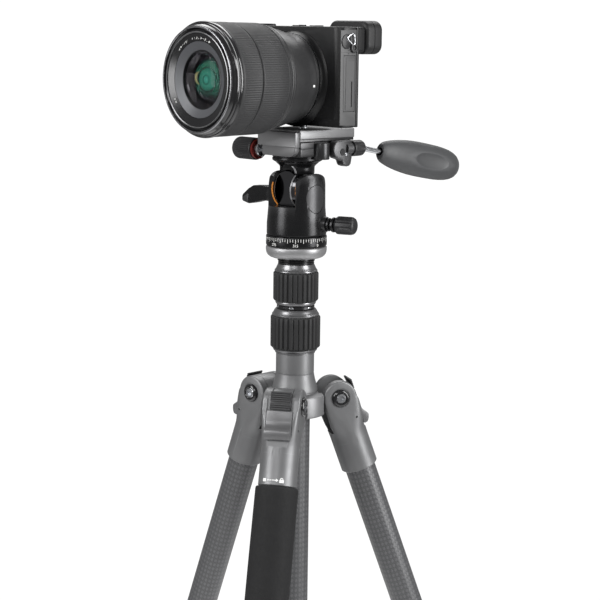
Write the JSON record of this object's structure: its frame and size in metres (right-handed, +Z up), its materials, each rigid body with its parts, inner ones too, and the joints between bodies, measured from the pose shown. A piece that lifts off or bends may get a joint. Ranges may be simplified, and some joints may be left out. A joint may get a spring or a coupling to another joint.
{
  "type": "camera on tripod",
  "caption": "Mirrorless camera with a zoom lens on a compact carbon travel tripod, with a notched ball head, quick-release clamp and side pan handle.",
  "frame": {"origin": "on the ground, at the middle of the object's footprint", "axes": "+Z up along the centre column; the lens looks along -Y; +X is the camera's left-hand side, with the connector door"},
  "size_m": [0.3716, 0.4116, 0.7879],
  "materials": {
    "grey_casting": "bead-blasted grey anodised casting",
    "black_metal": "satin black anodised",
    "dark_metal": "dark grey satin anodised",
    "grey_plate": "mid grey satin anodised",
    "carbon_weave": "carbon fibre weave under satin resin",
    "black_rubber": "moulded ribbed rubber",
    "leg_grip_foam": "dense leather-grained foam sleeve",
    "black_plastic": "satin moulded plastic",
    "orange_band": "orange friction band",
    "polished_ball": "polished dark ball",
    "bright_steel": "turned bright steel",
    "soft_grip": "soft-touch rubber, fine grain",
    "camera_shell": "black crinkle-painted shell",
    "circuit_board": "green circuit board",
    "battery_shell": "dark grey cell case",
    "screen_glass": "black screen glass",
    "lens_glass": "coated optical glass"
  },
  "bodies": {
    "crown": {"crown": "grey_casting"},
    "leg_a": {"leg_a_casting": "grey_casting", "leg_a_pivot_bolt": "black_metal", "leg_a_upper_tube": "carbon_weave", "leg_grip": "leg_grip_foam"},
    "leg_a_latch": {"leg_a_angle_latch": "dark_metal"},
    "leg_a_lock": {"leg_a_lock_sleeve": "black_rubber"},
    "leg_a_lower": {"leg_a_lower_tube": "carbon_weave", "leg_a_foot": "black_rubber"},
    "leg_b": {"leg_b_casting": "grey_casting", "leg_b_pivot_bolt": "black_metal", "leg_b_upper_tube": "carbon_weave"},
    "leg_b_latch": {"leg_b_angle_latch": "dark_metal"},
    "leg_b_lock": {"leg_b_lock_sleeve": "black_rubber"},
    "leg_b_lower": {"leg_b_lower_tube": "carbon_weave", "leg_b_foot": "black_rubber"},
    "leg_c": {"leg_c_casting": "grey_casting", "leg_c_pivot_bolt": "black_metal", "leg_c_upper_tube": "carbon_weave"},
    "leg_c_latch": {"leg_c_angle_latch": "dark_metal"},
    "leg_c_lock": {"leg_c_lock_sleeve": "black_rubber"},
    "leg_c_lower": {"leg_c_lower_tube": "carbon_weave", "leg_c_foot": "black_rubber"},
    "column_lock": {"column_lock_sleeve": "black_rubber"},
    "column": {"column_tube": "carbon_weave", "column_end_cap": "black_plastic"},
    "upper_column_lock": {"upper_column_lock_sleeve": "black_rubber"},
    "inner_column": {"inner_column": "carbon_weave", "head_base_plate": "grey_casting", "pan_ring": "black_metal"},
    "pan_head": {"head_housing": "black_metal", "ball_seat_ring": "orange_band"},
    "ball_lever": {"ball_lock_lever": "black_metal"},
    "pan_knob": {"pan_lock_knob": "black_metal"},
    "ball": {"ball": "polished_ball"},
    "clamp": {"ball_stem": "black_metal", "clamp_body": "dark_metal"},
    "clamp_jaw": {"clamp_jaw": "dark_metal"},
    "clamp_knob": {"clamp_knob": "black_plastic"},
    "handle_bracket": {"handle_bracket": "dark_metal"},
    "handle_collet": {"handle_collet": "black_plastic"},
    "handle": {"handle_rod": "bright_steel", "handle_grip": "soft_grip"},
    "camera": {"quick_plate": "grey_plate", "camera_body": "camera_shell", "camera_back": "camera_shell", "eyecup": "black_rubber", "sensor_board": "circuit_board", "battery": "battery_shell", "lens_barrel": "black_plastic"},
    "camera_screw": {"camera_screw": "bright_steel"},
    "screen": {"screen": "screen_glass"},
    "port_door": {"port_door": "black_plastic"},
    "shutter_button": {"shutter_button": "bright_steel"},
    "mode_dial": {"mode_dial": "black_plastic"},
    "control_dial": {"control_dial": "black_plastic"},
    "zoom_ring": {"zoom_ring": "black_rubber"},
    "focus_ring": {"focus_ring": "black_rubber"},
    "front_group": {"front_bezel": "black_plastic", "front_element": "lens_glass"}
  },
  "joints": [
    {"name": "leg_a_fold", "type": "hinge", "parent": "crown", "child": "leg_a", "pos_m": [0.06656, -0.03193, 0.52589], "axis": [0.8339, 0.5519, 0], "range_deg": [0, 19.5]},
    {"name": "leg_a_latch_pull", "type": "slide", "parent": "leg_a", "child": "leg_a_latch", "axis": [0.1897, -0.2866, -0.9391], "range_m": [0, 0.004], "stiffness_N_per_m": 400, "springref_m": -0.002},
    {"name": "leg_a_lock_turn", "type": "hinge", "parent": "leg_a", "child": "leg_a_lock", "pos_m": [0.06656, -0.03193, 0.52589], "axis": [-0.1897, 0.2866, 0.9391], "range_deg": [0, 90]},
    {"name": "leg_a_extend", "type": "slide", "parent": "leg_a", "child": "leg_a_lower", "axis": [-0.1897, 0.2866, 0.9391], "range_m": [0, 0.2]},
    {"name": "leg_b_fold", "type": "hinge", "parent": "crown", "child": "leg_b", "pos_m": [0.06339, 0.01993, 0.52589], "axis": [-0.8949, 0.4462, 0], "range_deg": [0, 19.5]},
    {"name": "leg_b_latch_pull", "type": "slide", "parent": "leg_b", "child": "leg_b_latch", "axis": [0.1533, 0.3076, -0.9391], "range_m": [0, 0.004], "stiffness_N_per_m": 400, "springref_m": -0.002},
    {"name": "leg_b_lock_turn", "type": "hinge", "parent": "leg_b", "child": "leg_b_lock", "pos_m": [0.06339, 0.01993, 0.52589], "axis": [-0.1533, -0.3076, 0.9391], "range_deg": [0, 90]},
    {"name": "leg_b_extend", "type": "slide", "parent": "leg_b", "child": "leg_b_lower", "axis": [-0.1533, -0.3076, 0.9391], "range_m": [0, 0.2]},
    {"name": "leg_c_fold", "type": "hinge", "parent": "crown", "child": "leg_c", "pos_m": [0.02006, -0.00875, 0.52589], "axis": [0.061, -0.9981, 0], "range_deg": [0, 19.5]},
    {"name": "leg_c_latch_pull", "type": "slide", "parent": "leg_c", "child": "leg_c_latch", "axis": [-0.343, -0.021, -0.9391], "range_m": [0, 0.004], "stiffness_N_per_m": 400, "springref_m": -0.002},
    {"name": "leg_c_lock_turn", "type": "hinge", "parent": "leg_c", "child": "leg_c_lock", "pos_m": [0.02006, -0.00875, 0.52589], "axis": [0.343, 0.021, 0.9391], "range_deg": [0, 90]},
    {"name": "leg_c_extend", "type": "slide", "parent": "leg_c", "child": "leg_c_lower", "axis": [0.343, 0.021, 0.9391], "range_m": [0, 0.2]},
    {"name": "column_lock_turn", "type": "hinge", "parent": "crown", "child": "column_lock", "pos_m": [0.05, -0.00692, 0.52589], "axis": [0, 0, 1], "range_deg": [0, 90]},
    {"name": "column_lift", "type": "slide", "parent": "crown", "child": "column", "axis": [0, 0, 1], "range_m": [0, 0.16]},
    {"name": "upper_column_lock_turn", "type": "hinge", "parent": "column", "child": "upper_column_lock", "pos_m": [0.05, -0.00692, 0.52589], "axis": [0, 0, 1], "range_deg": [0, 90]},
    {"name": "inner_column_lift", "type": "slide", "parent": "column", "child": "inner_column", "axis": [0, 0, 1], "range_m": [0, 0.14]},
    {"name": "head_pan", "type": "hinge", "parent": "inner_column", "child": "pan_head", "pos_m": [0.05, -0.00692, 0.64149], "axis": [0, 0, 1], "continuous": true},
    {"name": "ball_lock_turn", "type": "hinge", "parent": "pan_head", "child": "ball_lever", "pos_m": [0.05, -0.00692, 0.66719], "axis": [-1, 0, 0], "range_deg": [0, 90]},
    {"name": "pan_lock_turn", "type": "hinge", "parent": "pan_head", "child": "pan_knob", "pos_m": [0.05, -0.00692, 0.64939], "axis": [0.9272, 0.3746, 0], "range_deg": [0, 180]},
    {"name": "head_side_tilt", "type": "hinge", "parent": "pan_head", "child": "ball", "pos_m": [0.05, -0.00692, 0.67269], "axis": [0, 1, 0], "range_deg": [-12, 12]},
    {"name": "head_tilt", "type": "hinge", "parent": "ball", "child": "clamp", "pos_m": [0.05, -0.00692, 0.67269], "axis": [1, 0, 0], "range_deg": [-12, 75]},
    {"name": "clamp_knob_turn", "type": "hinge", "parent": "clamp", "child": "clamp_knob", "pos_m": [0.05, -0.01892, 0.70109], "axis": [-1, 0, 0], "range_deg": [0, 720]},
    {"name": "clamp_jaw_open", "type": "slide", "parent": "clamp", "child": "clamp_jaw", "axis": [-1, 0, 0], "range_m": [0, 0.003]},
    {"name": "plate_slide", "type": "slide", "parent": "clamp", "child": "camera", "axis": [0, 1, 0], "range_m": [0, 0.007]},
    {"name": "camera_screw_turn", "type": "hinge", "parent": "camera", "child": "camera_screw", "pos_m": [0.05, -0.00192, 0.69819], "axis": [0, 0, 1], "continuous": true},
    {"name": "handle_tilt", "type": "hinge", "parent": "clamp", "child": "handle_bracket", "pos_m": [0.069, 0.01308, 0.70079], "axis": [1, 0, 0], "range_deg": [-35, 5]},
    {"name": "handle_collet_turn", "type": "hinge", "parent": "handle_bracket", "child": "handle_collet", "pos_m": [0.0716, 0.01308, 0.70079], "axis": [0, 1, 0], "range_deg": [0, 180]},
    {"name": "handle_roll", "type": "hinge", "parent": "handle_bracket", "child": "handle", "pos_m": [0.0716, 0.01308, 0.70079], "axis": [0, 1, 0], "continuous": true},
    {"name": "screen_tilt", "type": "hinge", "parent": "camera", "child": "screen", "pos_m": [0.05, 0.01208, 0.76279], "axis": [1, 0, 0], "range_deg": [0, 90]},
    {"name": "port_door_open", "type": "hinge", "parent": "camera", "child": "port_door", "pos_m": [0.0945, 0.00308, 0.74629], "axis": [0, 0, 1], "range_deg": [0, 100]},
    {"name": "shutter_press", "type": "slide", "parent": "camera", "child": "shutter_button", "axis": [0, 0, -1], "range_m": [0, 0.001], "stiffness_N_per_m": 500, "springref_m": -0.0002},
    {"name": "mode_dial_turn", "type": "hinge", "parent": "camera", "child": "mode_dial", "pos_m": [0.014, -0.00332, 0.78079], "axis": [0, 0, 1], "continuous": true},
    {"name": "control_dial_turn", "type": "hinge", "parent": "camera", "child": "control_dial", "pos_m": [-0.01, -0.00332, 0.78079], "axis": [0, 0, 1], "continuous": true},
    {"name": "zoom_turn", "type": "hinge", "parent": "camera", "child": "zoom_ring", "pos_m": [0.05, -0.00692, 0.74879], "axis": [0, -1, 0], "range_deg": [0, 75]},
    {"name": "zoom_extend", "type": "slide", "parent": "camera", "child": "front_group", "axis": [0, -1, 0], "range_m": [0, 0.018]},
    {"name": "focus_turn", "type": "hinge", "parent": "camera", "child": "focus_ring", "pos_m": [0.05, -0.00692, 0.74879], "axis": [0, -1, 0], "continuous": true}
  ],
  "couplings": [
    {"joint": "clamp_jaw_open", "follows": "clamp_knob_turn", "m_per_rad": 0.000238},
    {"joint": "zoom_extend", "follows": "zoom_turn", "m_per_rad": 0.01375}
  ]
}
